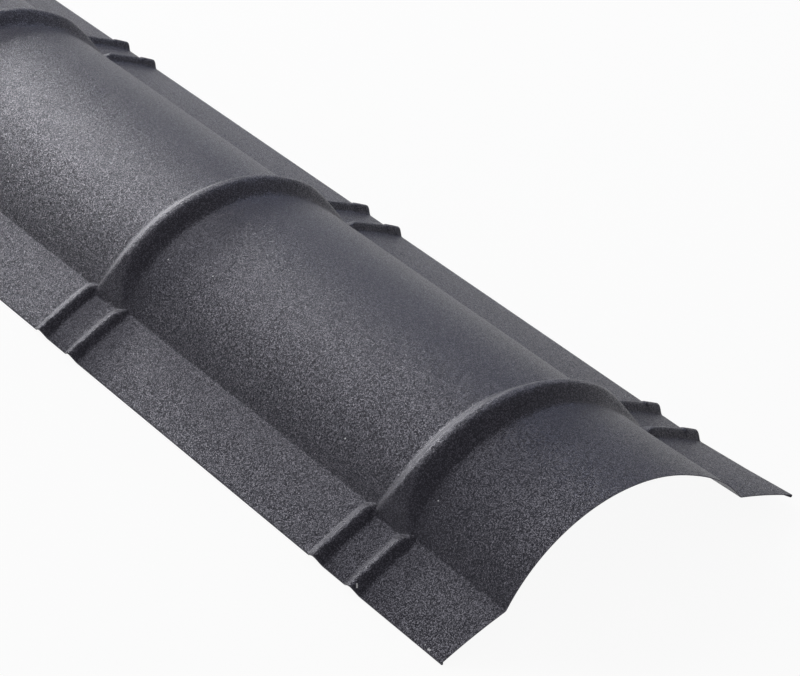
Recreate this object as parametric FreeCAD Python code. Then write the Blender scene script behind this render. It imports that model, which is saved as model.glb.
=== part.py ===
"""Half-round roof ridge cap, one pressed length of coated steel sheet.

X runs across the ridge, Y along it and Z up.  The origin is on the floor under the middle of the
length.  The cap rests on its two hemmed edges, and its show end is at the -Y end.
"""
import FreeCAD, Part
import math
import os

V = FreeCAD.Vector

# The strip: one sheet, coating included.
length = 2000.0
sheet = 0.6

# Cross-section, measured on the top face.
barrel_radius = 110.0
crease_width = 183.2        # across the two creases where the barrel would meet the flanges
flange_width = 49.0         # crease to outer edge, along the slope
flange_slope = 25.5         # fall of each flange away from the barrel, degrees
fold_radius = 3.0           # bend at each crease, on the top face
hem_width = 12.0            # edge folded back under the flange
hem_gap = 0.8               # air left inside the hem

# Row of beads along the length, as many as fit.
bead_pitch = 322.0
first_bead = 104.6          # show end to the middle of the first pair of flange ribs
last_clear = 100.0          # least length left between the last pair and the other end

# One bead: a round swell over the barrel.  Towards each crease it grows lower and splits into two ridges,
# which run on into the two ribs.  Its places are counted along +Y from the middle of the rib pair.
bead_height = 8.5           # at the crown
crown_ahead = 9.5           # upstream edge of the crest at the crown
crown_behind = 5.5          # downstream edge of the crest at the crown
crown_rise = 13.0           # length of the upstream flank at the crown
crown_drop = 15.5           # length of the downstream flank at the crown
crease_height = 2.2         # what is left of the bead at the creases
crease_ahead = 20.5         # upstream ridge at the creases
crease_behind = -11.0       # downstream ridge at the creases
crease_rise = 5.0           # length of the upstream flank at the creases
crease_drop = 7.0           # length of the downstream flank at the creases
crease_lean = 0.4           # share of the height at the creases lost between the two ridges
spread_angle = 38.0         # degrees from the crown at which the bead starts to split
settle_angle = 57.0         # degrees from the crown at which it has its full width

# Two ribs across each flange at every bead, rounded off at a shoulder beside the crease.
rib_spacing = 38.0          # between the two feet
rib_height = 5.0            # at the outer edge, square to the flange
shoulder_height = 4.2       # at the shoulder
shoulder_width = 5.5        # crease to shoulder, along the slope
root_height = 1.6           # at the crease
rib_rise = 8.0              # crest to the start of the rib's long back
rib_drop = 7.5              # foot to crest
root_drop = 5.5             # foot to crest at the crease
back_round = 1.4            # 1 is a straight back, more rounds it over at the crest
drop_round = 1.5            # 1 is an even drop, more moves its steep part to the foot

# How finely the pressed stretches are drawn.
station_step = 4.0
arc_points = 11
fold_flats = 2              # flats of the bend at each crease
hem_flats = 3               # flats of the hem's round nose

slope = math.radians(flange_slope)
outward = V(math.cos(slope), 0, -math.sin(slope))
normal = V(math.sin(slope), 0, math.cos(slope))
hem_bend = sheet + hem_gap / 2
hem_low = max(-math.cos(slope + math.pi * i / hem_flats) for i in range(hem_flats + 1))
crease_z = (flange_width - hem_bend) * math.sin(slope) + hem_bend * (math.cos(slope) + hem_low)
crease = V(crease_width / 2, 0, crease_z)
axis = V(0, 0, crease_z - math.sqrt(barrel_radius**2 - (crease_width / 2)**2))


def ramp(t):
    """Smooth step from 0 to 1 with level ends."""
    t = min(max(t, 0.0), 1.0)
    return t**2 * (3 - 2 * t)


def swell(angle, y):
    """Height of the bead over the barrel at an angle from the crown and a place along the ridge."""
    spread = (abs(math.degrees(angle)) - spread_angle) / (settle_angle - spread_angle)
    spread = min(max(spread, 0.0), 1.0)
    side = spread**2
    height = bead_height + side * (crease_height - bead_height)
    ahead = crown_ahead + side * (crease_ahead - crown_ahead)
    behind = crown_behind + side * (crease_behind - crown_behind)
    rise = crown_rise + side * (crease_rise - crown_rise)
    drop = crown_drop + side * (crease_drop - crown_drop)
    lean = 1 - crease_lean * spread * min(max((ahead - y) / (ahead - behind), 0.0), 1.0)
    return height * lean * (1 - ramp((y - ahead) / rise)) * (1 - ramp((behind - y) / drop))


def rib(y, drop):
    """Share of the ribs' height at a place along the ridge."""
    total = 0.0
    for foot in (-rib_spacing / 2, rib_spacing / 2):
        crest = foot + drop
        if y < crest:
            total += 1 - ramp((crest - y) / drop)**drop_round
        else:
            total += 1 - min((y - crest) / rib_rise, 1.0)**back_round
    return total


def half_outline(y, depth):
    """Right half of the sheet's top face, or of the face at some depth below it, cut across at y.

    Gives the angle where the barrel ends, and the corners from there over the bend at the crease and the
    hem to the hem's inner end.
    """
    inner = hem_bend - depth
    lift = rib(y, rib_drop)
    centre = crease + normal * (lift * rib_height - hem_bend) + outward * (flange_width - hem_bend)
    nose = []
    flats = hem_flats if depth == 0 else 1
    for i in range(flats + 1):
        turn = math.pi * i / flats
        nose.append(centre + normal * (inner * math.cos(turn)) + outward * (inner * math.sin(turn)))
    back = nose[-1] - outward * (hem_width - hem_bend)

    shoulder = crease + normal * (lift * shoulder_height - depth) + outward * shoulder_width
    root = crease + normal * (rib(y, root_drop) * root_height - depth)
    along = (shoulder - root).normalize()
    up = V(-along.z, 0, along.x)
    bend = fold_radius + depth
    base = shoulder + up * bend - axis
    angle = math.asin(crease_width / 2 / barrel_radius)
    for i in range(80):
        radius = barrel_radius + swell(angle, y) - depth
        reach = math.sqrt((radius + bend)**2 - base.dot(base) + base.dot(along)**2)
        towards = base + along * (reach - base.dot(along))
        angle = math.atan2(towards.x, towards.z)
    fold = []
    level = math.atan2(up.x, up.z)
    for i in range(fold_flats + 1):
        turn = angle + (level - angle) * i / fold_flats
        fold.append(axis + towards - V(math.sin(turn), 0, math.cos(turn)) * bend)
    return angle, [V(p.x, y, p.z) for p in fold + [shoulder] + nose + [back]]


def barrel_edge(y, depth):
    """Barrel between its two bends: an arc where it is plain, a smooth curve over a bead."""
    angle = half_outline(y, depth)[0]
    points = []
    for i in range(arc_points):
        a = angle * (2 * i / (arc_points - 1) - 1)
        radius = barrel_radius + swell(a, y) - depth
        points.append(V(radius * math.sin(a), y, axis.z + radius * math.cos(a)))
    if swell(0, y) == 0 and swell(angle, y) == 0:
        return Part.Arc(points[0], points[arc_points // 2], points[-1]).toShape()
    curve = Part.BSplineCurve()
    curve.interpolate(points)
    return curve.toShape()


def mirrored(points):
    return [V(-p.x, p.y, p.z) for p in points[::-1]]


def lines(points):
    return [Part.LineSegment(a, b).toShape() for a, b in zip(points, points[1:])]


def outline(y):
    """Closed outline of the sheet, cut across at one place along a bead."""
    sides = []
    for depth in (0.0, sheet):
        corners = half_outline(y, depth)[1]
        sides.append(lines(mirrored(corners)) + [barrel_edge(y, depth)] + lines(corners))
    right_end = [half_outline(y, depth)[1][-1] for depth in (0.0, sheet)]
    left_end = mirrored(right_end)
    return Part.Wire(sides[0] + lines(right_end) + sides[1][::-1] + lines(left_end))


# The pressed stretch of one bead, from plain section to plain section by way of the ribs' feet and crests.
places = []
for foot in (-rib_spacing / 2, rib_spacing / 2):
    places += [foot, foot + rib_drop, foot + rib_drop + rib_rise]
front = min(places[0], crown_behind - crown_drop, crease_behind - crease_drop)
back = max(places[-1], crown_ahead + crown_rise, crease_ahead + crease_rise)
places = sorted(set(places + [front, back]))
stations = [front]
for start, end in zip(places, places[1:]):
    steps = math.ceil((end - start) / station_step)
    stations += [start + (end - start) * (i + 1) / steps for i in range(steps)]
bead = Part.makeLoft([outline(y) for y in stations], False, True)
plain = outline(front).translated(V(0, -front, 0))

# The beads in a row, with plain stretches of the same section between them.
bead_count = 1 + math.floor((length - first_bead - last_clear) / bead_pitch)
faces = []
reached = -length / 2
for i in range(bead_count):
    middle = -length / 2 + first_bead + i * bead_pitch
    faces += plain.translated(V(0, reached, 0)).extrude(V(0, middle + front - reached, 0)).Faces
    faces += bead.translated(V(0, middle, 0)).Faces
    reached = middle + back
faces += plain.translated(V(0, reached, 0)).extrude(V(0, length / 2 - reached, 0)).Faces
for y in (-length / 2, length / 2):
    faces.append(Part.Face(plain.translated(V(0, y, 0))))

shell = Part.makeShell(faces)
shell.sewShape(1e-4)
ridge_cap = Part.makeSolid(shell)
if ridge_cap.Volume < 0:
    ridge_cap.reverse()

os.makedirs("parts", exist_ok=True)
ridge_cap.exportStep("parts/ridge_cap.step")
box = ridge_cap.BoundBox
print(ridge_cap.ShapeType, "valid", ridge_cap.isValid(), "closed", ridge_cap.Shells[0].isClosed())
print("size %.2f x %.2f x %.2f" % (box.XLength, box.YLength, box.ZLength), "lowest %.4f" % box.ZMin)
print("volume %.1f cm3, mass %.2f kg" % (ridge_cap.Volume / 1000, ridge_cap.Volume * 7.85e-6))
print("beads", bead_count, "faces", len(ridge_cap.Faces))
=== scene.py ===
"""Looks of the half-round roof ridge cap: one pressed steel sheet with a finely textured dark coating.

The sheet is drawn again here from the same sizes as the CAD part, with rounded bends and hems and with
finer steps over the beads.  All sizes are metres.
"""
import math

import bpy
import numpy as np
from mathutils import Matrix, Vector


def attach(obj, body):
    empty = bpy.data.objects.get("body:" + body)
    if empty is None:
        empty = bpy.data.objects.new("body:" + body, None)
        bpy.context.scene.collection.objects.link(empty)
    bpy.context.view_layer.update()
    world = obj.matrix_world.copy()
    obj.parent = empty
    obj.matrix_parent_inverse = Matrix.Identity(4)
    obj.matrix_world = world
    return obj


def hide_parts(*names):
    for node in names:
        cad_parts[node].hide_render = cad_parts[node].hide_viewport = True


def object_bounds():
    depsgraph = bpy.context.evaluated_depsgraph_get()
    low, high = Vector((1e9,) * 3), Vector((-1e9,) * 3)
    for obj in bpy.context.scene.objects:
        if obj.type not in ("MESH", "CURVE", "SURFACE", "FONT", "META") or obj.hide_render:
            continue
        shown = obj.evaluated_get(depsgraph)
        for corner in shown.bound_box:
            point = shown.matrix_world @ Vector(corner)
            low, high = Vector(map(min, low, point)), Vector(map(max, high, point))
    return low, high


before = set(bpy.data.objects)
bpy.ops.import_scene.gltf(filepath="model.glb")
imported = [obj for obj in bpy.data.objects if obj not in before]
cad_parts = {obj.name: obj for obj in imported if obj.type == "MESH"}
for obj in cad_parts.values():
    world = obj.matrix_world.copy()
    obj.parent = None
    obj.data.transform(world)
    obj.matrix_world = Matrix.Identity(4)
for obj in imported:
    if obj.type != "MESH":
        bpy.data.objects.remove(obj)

cad_low, cad_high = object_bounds()

# Sheet and cross-section, as in the CAD part.
LENGTH = cad_high.y - cad_low.y
SHEET = 0.0006
BARREL_RADIUS = 0.110
CREASE_WIDTH = 0.1832
FLANGE_WIDTH = 0.049
SLOPE = math.radians(25.5)
FOLD_RADIUS = 0.003
HEM_WIDTH = 0.012
HEM_GAP = 0.0008
HEM_BEND = SHEET + HEM_GAP / 2

# Beads and flange ribs, as in the CAD part.
BEAD_PITCH = 0.322
FIRST_BEAD = 0.1046
LAST_CLEAR = 0.100
BEAD_HEIGHT = 0.0085
CROWN_AHEAD = 0.0095
CROWN_BEHIND = 0.0055
CROWN_RISE = 0.013
CROWN_DROP = 0.0155
CREASE_HEIGHT = 0.0022
CREASE_AHEAD = 0.0205
CREASE_BEHIND = -0.011
CREASE_RISE = 0.005
CREASE_DROP = 0.007
CREASE_LEAN = 0.4
SPREAD_ANGLE = math.radians(38)
SETTLE_ANGLE = math.radians(57)
RIB_SPACING = 0.038
RIB_HEIGHT = 0.005
RIB_RISE = 0.008
RIB_DROP = 0.0075
DROP_ROUND = 1.5
BACK_ROUND = 1.4
ROOT_HEIGHT = 0.0016
ROOT_DROP = 0.0055
SHOULDER_WIDTH = 0.0055

# Small departures of the photographed sheet from the true form.
HEM_PRINT = -0.0008         # step that the hem's inner edge leaves in the ribs
LIFTED_CORNER = 0.007       # far flange sprung up at the show end
LIFTED_CREASE = 0.003       # the crease beside it
LIFT_LENGTH = 0.075         # length over which the corners depart
SHORT_CORNER = 0.005        # near flange cut short at the show end
CREST_ROUND = 0.002         # how much sooner the beads fall away upstream, over the crown
FLANGE_BOW = 0.0008         # rise of the flanges' middle above a straight slope

# The coating: small facets between a dark and a pale tone, each with its own tilt.
ROUGHNESS = 0.42
SPECULAR_TINT = (0.82, 0.81, 1.0, 1)
FACET_SCALE = 1800
FACET_TILT = 0.62
DARK_TONE = (0.017, 0.0165, 0.022, 1)
DARK_UP_TO = 0.50
PALE_TONE = (0.105, 0.100, 0.125, 1)
PALE_FROM = 0.88
BARE_METAL = (0.75, 0.75, 0.77, 1)

# Chips in the coating and dust on it: place and radius.
CHIPS = (
    ((-0.1338, -0.9097, 0.0069), 0.0006),
    ((-0.1341, -0.9102, 0.0063), 0.0006),
    ((-0.1345, -0.9107, 0.0056), 0.0006),
    ((-0.1338, -0.9811, 0.0024), 0.0007),
    ((-0.1339, -0.9823, 0.0024), 0.0007),
    ((-0.1331, -0.9770, 0.0028), 0.0004),
    ((-0.0596, -0.5919, 0.0541), 0.0005),
    ((-0.0517, -0.6344, 0.0587), 0.0005),
    ((-0.0771, -0.8198, 0.0401), 0.0005),
    ((-0.0738, -0.9112, 0.0433), 0.0005),
)

# How finely the sheet is drawn.
BEAD_STEP = 0.0011
PLAIN_STEP = 0.05
BARREL_STEPS = 30
FOLD_STEPS = 5
FLANGE_STEPS = 14
NOSE_STEPS = 8
RETURN_STEPS = 3
HEM_STEP = 0.01             # share of the flange on either side of the hem's inner edge
BEND_ROUNDS = 80            # rounds in which the bend at the crease is fitted
SHARP_ANGLE = math.radians(50)

# Camera of the photograph, in the part's frame.
PICTURE_WIDTH = 800
CAMERA_PLACE = Vector((-1.0056, -2.1433, 1.1475))
CAMERA_YAW = math.radians(36.276)
CAMERA_PITCH = math.radians(32.594)
CAMERA_ROLL = -0.0083
FOCAL_PIXELS = 3146.8
SENSOR_WIDTH = 36

# Studio: pale floor, even light all round, and lamps aimed at the photographed stretch.
FLOOR_REACH = 30.0
FLOOR_DROP = 0.0002         # keeps the floor clear of the hems
FLOOR_COLOUR = (0.8, 0.8, 0.8, 1)
FLOOR_ROUGHNESS = 0.9
FLOOR_WHITE = 0.93          # share of plain white that the camera and reflections see
WORLD_STRENGTH = 0.32
LIGHT_TARGET = Vector((0, -0.6, 0.05))
NEUTRAL = (1, 1, 1)
COOL = (0.6, 0.7, 1.0)
LIGHTS = (                  # name, place, width, height, power, colour
    ("softbox", (0.05, 1.8, 1.95), 1.6, 1.3, 32, NEUTRAL),
    ("left_panel", (-0.75, 1.2, 2.0), 0.6, 0.6, 5, NEUTRAL),
    ("low_strip", (0.25, 1.7, 0.45), 1.2, 0.3, 30, NEUTRAL),
    ("side_panel", (1.5, 0.6, 1.0), 0.5, 0.5, 4, COOL),
)


def ramp(t):
    """Smooth step from 0 to 1 with level ends."""
    t = np.clip(t, 0.0, 1.0)
    return t**2 * (3 - 2 * t)


def swell(angle, y):
    """Height of the bead over the barrel, y from the middle of its rib pair."""
    spread = np.clip((np.abs(angle) - SPREAD_ANGLE) / (SETTLE_ANGLE - SPREAD_ANGLE), 0, 1)
    side = spread**2
    height = BEAD_HEIGHT + side * (CREASE_HEIGHT - BEAD_HEIGHT)
    ahead = CROWN_AHEAD - CREST_ROUND + side * (CREASE_AHEAD - CROWN_AHEAD + CREST_ROUND)
    behind = CROWN_BEHIND + side * (CREASE_BEHIND - CROWN_BEHIND)
    rise = CROWN_RISE + CREST_ROUND + side * (CREASE_RISE - CROWN_RISE - CREST_ROUND)
    drop = CROWN_DROP + side * (CREASE_DROP - CROWN_DROP)
    lean = 1 - CREASE_LEAN * spread * np.clip((ahead - y) / (ahead - behind), 0, 1)
    return height * lean * (1 - ramp((y - ahead) / rise)) * (1 - ramp((behind - y) / drop))


def rib(y, drop):
    """Share of the ribs' height, y from the middle of their pair."""
    total = np.zeros_like(y)
    for foot in (-RIB_SPACING / 2, RIB_SPACING / 2):
        crest = foot + drop
        ahead = 1 - np.clip((y - crest) / RIB_RISE, 0, 1)**BACK_ROUND
        total += np.where(y < crest, 1 - ramp((crest - y) / drop)**DROP_ROUND, ahead)
    return total


def plain_places(start, end):
    """Places along a plain stretch, its two ends included."""
    steps = math.ceil((end - start) / PLAIN_STEP)
    return [start + (end - start) * i / steps for i in range(steps + 1)]


def stations():
    """Places along the cap, close together over each bead, and each place's distance from its bead."""
    front = -RIB_SPACING / 2
    back = RIB_SPACING / 2 + RIB_DROP + RIB_RISE
    count = 1 + math.floor((LENGTH - FIRST_BEAD - LAST_CLEAR) / BEAD_PITCH)
    middles = [cad_low.y + FIRST_BEAD + i * BEAD_PITCH for i in range(count)]
    places, from_bead = [], []
    start = cad_low.y
    for middle in middles:
        places += plain_places(start, middle + front - BEAD_STEP)
        from_bead += [front] * (len(places) - len(from_bead))
        steps = math.ceil((back - front) / BEAD_STEP)
        here = [front + (back - front) * i / steps for i in range(steps + 1)]
        places += [middle + y for y in here]
        from_bead += here
        start = middle + back + BEAD_STEP
    places += plain_places(start, cad_high.y)
    from_bead += [front] * (len(places) - len(from_bead))
    return np.array(places), np.array(from_bead)


def half_top(y):
    """Right half of the sheet's top face, from the crown to the hem's inner end: x and z for each station."""
    y = y[:, None]
    outward = np.array((math.cos(SLOPE), -math.sin(SLOPE)))
    normal = np.array((math.sin(SLOPE), math.cos(SLOPE)))
    crease_z = (FLANGE_WIDTH - HEM_BEND) * math.sin(SLOPE) + HEM_BEND * (math.cos(SLOPE) + 1)
    crease = np.array((CREASE_WIDTH / 2, crease_z))
    axis = np.array((0, crease_z - math.sqrt(BARREL_RADIUS**2 - (CREASE_WIDTH / 2)**2)))

    lift = rib(y, RIB_DROP) * RIB_HEIGHT
    centre = crease + normal * (lift - HEM_BEND) + outward * (FLANGE_WIDTH - HEM_BEND)
    brow = centre + normal * HEM_BEND
    root = crease + normal * (rib(y, ROOT_DROP) * ROOT_HEIGHT)
    along = brow - root
    along /= np.linalg.norm(along, axis=1, keepdims=True)
    up = np.stack((-along[:, 1], along[:, 0]), axis=1)
    base = brow + up * FOLD_RADIUS - axis
    lean = (base * along).sum(1, keepdims=True)
    angle = np.full_like(y, math.asin(CREASE_WIDTH / 2 / BARREL_RADIUS))
    for _ in range(BEND_ROUNDS):
        radius = BARREL_RADIUS + swell(angle, y)
        reach = np.sqrt((radius + FOLD_RADIUS)**2 - (base**2).sum(1, keepdims=True) + lean**2)
        towards = base + along * (reach - lean)
        angle = np.arctan2(towards[:, :1], towards[:, 1:])

    barrel_angle = angle * np.linspace(0, 1, BARREL_STEPS + 1)
    barrel_radius = BARREL_RADIUS + swell(barrel_angle, y)
    x = [barrel_radius * np.sin(barrel_angle)]
    z = [axis[1] + barrel_radius * np.cos(barrel_angle)]

    level = np.arctan2(up[:, :1], up[:, 1:])
    turn = angle + (level - angle) * np.linspace(0, 1, FOLD_STEPS + 1)[1:]
    x.append(towards[:, :1] - FOLD_RADIUS * np.sin(turn))
    z.append(axis[1] + towards[:, 1:] - FOLD_RADIUS * np.cos(turn))

    hem_end = 1 - HEM_WIDTH / FLANGE_WIDTH
    inside = np.linspace(0, hem_end - HEM_STEP, FLANGE_STEPS)[1:]
    outside = np.linspace(hem_end + HEM_STEP, 1, FLANGE_STEPS // 2)
    share = np.concatenate((inside, (hem_end,), outside))
    full = ramp(share * FLANGE_WIDTH / SHOULDER_WIDTH)
    deficit = lift - rib(y, ROOT_DROP) * ROOT_HEIGHT
    before_hem = 1 - ramp((share - hem_end) / (2 * HEM_STEP) + 0.5)
    raised = deficit * (full - share) + HEM_PRINT * rib(y, RIB_DROP) * before_hem * full
    raised = raised + 4 * FLANGE_BOW * share * (1 - share)
    x.append(x[-1][:, -1:] + (brow[:, :1] - x[-1][:, -1:]) * share + up[:, :1] * raised)
    z.append(z[-1][:, -1:] + (brow[:, 1:] - z[-1][:, -1:]) * share + up[:, 1:] * raised)

    turn = math.pi * np.linspace(0, 1, NOSE_STEPS + 1)[1:]
    x.append(centre[:, :1] + HEM_BEND * (normal[0] * np.cos(turn) + outward[0] * np.sin(turn)))
    z.append(centre[:, 1:] + HEM_BEND * (normal[1] * np.cos(turn) + outward[1] * np.sin(turn)))

    share = np.linspace(0, 1, RETURN_STEPS + 1)[1:] * (HEM_WIDTH - HEM_BEND)
    x.append(x[-1][:, -1:] - outward[0] * share)
    z.append(z[-1][:, -1:] - outward[1] * share)
    return np.hstack(x), np.hstack(z)


def sheet_mesh():
    """The whole sheet: top face, underside a sheet's depth below it, both ends and both hem edges."""
    places, y = stations()
    x, z = half_top(y)
    x = np.hstack((-x[:, :0:-1], x))
    z = np.hstack((z[:, :0:-1], z))
    run_x = np.gradient(x, axis=1)
    run_z = np.gradient(z, axis=1)
    size = np.hypot(run_x, run_z)
    under_x = x + SHEET * run_z / size
    under_z = z - SHEET * run_x / size

    rows, columns = x.shape
    along = np.repeat(places[:, None], columns, axis=1)
    end_share = np.clip(1 - (along - cad_low.y) / LIFT_LENGTH, 0, 1)
    on_flange = np.clip((np.abs(x) - CREASE_WIDTH / 2) / (cad_high.x - CREASE_WIDTH / 2), 0, 1)
    on_side = ramp((np.abs(x) - CREASE_WIDTH / 4) / (CREASE_WIDTH / 4))
    sprung = end_share * (LIFTED_CREASE * on_side + (LIFTED_CORNER - LIFTED_CREASE) * on_flange) * (x > 0)
    z = z + sprung
    under_z = under_z + sprung
    along = along + SHORT_CORNER * end_share * on_flange * (x < 0)
    # The hems are cut slantwise at the show end, so that they don't show.
    mitre = HEM_WIDTH * np.linspace(0, 1, RETURN_STEPS + 1)[1:]
    along[0, -RETURN_STEPS:] += mitre
    along[0, :RETURN_STEPS] += mitre[::-1]
    top = np.stack((x, along, z), axis=2).reshape(-1, 3)
    under = np.stack((under_x, along, under_z), axis=2).reshape(-1, 3)
    index = np.arange(rows * columns).reshape(rows, columns)
    below = index + rows * columns

    def quads(a, b, c, d):
        return np.stack((a, b, c, d), axis=-1).reshape(-1, 4)

    faces = np.vstack((
        quads(index[:-1, :-1], index[:-1, 1:], index[1:, 1:], index[1:, :-1]),
        quads(below[:-1, :-1], below[1:, :-1], below[1:, 1:], below[:-1, 1:]),
        quads(index[:-1, 0], index[1:, 0], below[1:, 0], below[:-1, 0]),
        quads(index[:-1, -1], below[:-1, -1], below[1:, -1], index[1:, -1]),
        quads(index[0, :-1], below[0, :-1], below[0, 1:], index[0, 1:]),
        quads(index[-1, :-1], index[-1, 1:], below[-1, 1:], below[-1, :-1]),
    ))
    mesh = bpy.data.meshes.new("pressed_sheet")
    mesh.from_pydata(np.vstack((top, under)).tolist(), [], faces.tolist())
    mesh.shade_smooth()
    mesh.set_sharp_from_angle(angle=SHARP_ANGLE)
    return mesh


def link(obj):
    bpy.context.scene.collection.objects.link(obj)
    return obj


def coating():
    """Matt dark grey coating with a sandy grain: small facets, each with its own tone and tilt."""
    material = bpy.data.materials.new("coated_steel")
    material.use_nodes = True
    nodes = material.node_tree.nodes
    links = material.node_tree.links
    shader = nodes["Principled BSDF"]
    shader.inputs["Roughness"].default_value = ROUGHNESS
    shader.inputs["Specular Tint"].default_value = SPECULAR_TINT

    place = nodes.new("ShaderNodeTexCoord")
    facets = nodes.new("ShaderNodeTexVoronoi")
    facets.inputs["Scale"].default_value = FACET_SCALE
    links.new(place.outputs["Object"], facets.inputs["Vector"])
    tone = nodes.new("ShaderNodeValToRGB")
    tone.color_ramp.elements[0].position = DARK_UP_TO
    tone.color_ramp.elements[0].color = DARK_TONE
    tone.color_ramp.elements[1].position = PALE_FROM
    tone.color_ramp.elements[1].color = PALE_TONE
    links.new(facets.outputs["Color"], tone.inputs["Fac"])

    # Chips show the bare metal, and dust is as pale.
    bare = None
    for spot, radius in CHIPS:
        away = nodes.new("ShaderNodeVectorMath")
        away.operation = "DISTANCE"
        away.inputs[1].default_value = spot
        links.new(place.outputs["Object"], away.inputs[0])
        near = nodes.new("ShaderNodeMath")
        near.operation = "LESS_THAN"
        near.inputs[1].default_value = radius
        links.new(away.outputs["Value"], near.inputs[0])
        if bare is not None:
            either = nodes.new("ShaderNodeMath")
            either.operation = "MAXIMUM"
            links.new(bare, either.inputs[0])
            links.new(near.outputs[0], either.inputs[1])
            near = either
        bare = near.outputs[0]
    colour = nodes.new("ShaderNodeMix")
    colour.data_type = "RGBA"
    colour.inputs["B"].default_value = BARE_METAL
    links.new(bare, colour.inputs["Factor"])
    links.new(tone.outputs["Color"], colour.inputs["A"])
    links.new(colour.outputs["Result"], shader.inputs["Base Color"])

    # Each facet is a small plane through its own middle.
    offset = nodes.new("ShaderNodeVectorMath")
    offset.operation = "SUBTRACT"
    links.new(place.outputs["Object"], offset.inputs[0])
    links.new(facets.outputs["Position"], offset.inputs[1])
    tilt = nodes.new("ShaderNodeVectorMath")
    tilt.operation = "SUBTRACT"
    tilt.inputs[1].default_value = (0.5, 0.5, 0.5)
    links.new(facets.outputs["Color"], tilt.inputs[0])
    height = nodes.new("ShaderNodeVectorMath")
    height.operation = "DOT_PRODUCT"
    links.new(offset.outputs["Vector"], height.inputs[0])
    links.new(tilt.outputs["Vector"], height.inputs[1])
    bump = nodes.new("ShaderNodeBump")
    bump.invert = True
    bump.inputs["Distance"].default_value = FACET_TILT
    links.new(height.outputs["Value"], bump.inputs["Height"])
    links.new(bump.outputs["Normal"], shader.inputs["Normal"])
    return material


def add_floor():
    """Pale floor that the camera sees as white, with the object's shadow left faint on it."""
    mesh = bpy.data.meshes.new("floor")
    signs = ((-1, -1), (1, -1), (1, 1), (-1, 1))
    corners = [(FLOOR_REACH * x, FLOOR_REACH * y, 0) for x, y in signs]
    mesh.from_pydata(corners, [], [(0, 1, 2, 3)])
    floor = link(bpy.data.objects.new("floor", mesh))
    floor.location.z = cad_low.z - FLOOR_DROP
    material = bpy.data.materials.new("pale_floor")
    material.use_nodes = True
    nodes = material.node_tree.nodes
    links = material.node_tree.links
    shader = nodes["Principled BSDF"]
    shader.inputs["Base Color"].default_value = FLOOR_COLOUR
    shader.inputs["Roughness"].default_value = FLOOR_ROUGHNESS
    white = nodes.new("ShaderNodeEmission")
    path = nodes.new("ShaderNodeLightPath")
    share = nodes.new("ShaderNodeMath")
    share.operation = "MULTIPLY"
    share.inputs[1].default_value = FLOOR_WHITE
    mix = nodes.new("ShaderNodeMixShader")
    seen = nodes.new("ShaderNodeMath")
    seen.operation = "MAXIMUM"
    links.new(path.outputs["Is Camera Ray"], seen.inputs[0])
    links.new(path.outputs["Is Glossy Ray"], seen.inputs[1])
    links.new(seen.outputs[0], share.inputs[0])
    links.new(share.outputs[0], mix.inputs["Fac"])
    links.new(shader.outputs["BSDF"], mix.inputs[1])
    links.new(white.outputs["Emission"], mix.inputs[2])
    links.new(mix.outputs["Shader"], nodes["Material Output"].inputs["Surface"])
    mesh.materials.append(material)


def add_light(name, place, width, height, power, colour):
    lamp = bpy.data.lights.new(name, "AREA")
    lamp.shape = "RECTANGLE"
    lamp.size = width
    lamp.size_y = height
    lamp.energy = power
    lamp.color = colour
    light = link(bpy.data.objects.new(name, lamp))
    light.location = place
    light.rotation_euler = (LIGHT_TARGET - Vector(place)).to_track_quat("-Z", "Y").to_euler()


def add_camera():
    lens = bpy.data.cameras.new("camera")
    lens.sensor_width = SENSOR_WIDTH
    lens.lens = FOCAL_PIXELS * SENSOR_WIDTH / PICTURE_WIDTH
    camera = link(bpy.data.objects.new("camera", lens))
    ahead = Vector((
        math.sin(CAMERA_YAW) * math.cos(CAMERA_PITCH),
        math.cos(CAMERA_YAW) * math.cos(CAMERA_PITCH),
        -math.sin(CAMERA_PITCH),
    ))
    right = Vector((math.cos(CAMERA_YAW), -math.sin(CAMERA_YAW), 0))
    above = right.cross(ahead)
    rolled_right = math.cos(CAMERA_ROLL) * right + math.sin(CAMERA_ROLL) * above
    rolled_above = math.cos(CAMERA_ROLL) * above - math.sin(CAMERA_ROLL) * right
    turn = Matrix((rolled_right, rolled_above, -ahead)).transposed()
    camera.matrix_world = Matrix.Translation(CAMERA_PLACE) @ turn.to_4x4()
    bpy.context.scene.camera = camera


cap = link(bpy.data.objects.new("pressed_cap", sheet_mesh()))
cap.data.materials.append(coating())
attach(cap, "root")
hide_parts("ridge_cap")

add_floor()
add_camera()
world = bpy.data.worlds.new("studio")
world.use_nodes = True
world.node_tree.nodes["Background"].inputs["Color"].default_value = (1, 1, 1, 1)
world.node_tree.nodes["Background"].inputs["Strength"].default_value = WORLD_STRENGTH
bpy.context.scene.world = world
for light in LIGHTS:
    add_light(*light)
bpy.context.scene.view_settings.view_transform = "Standard"
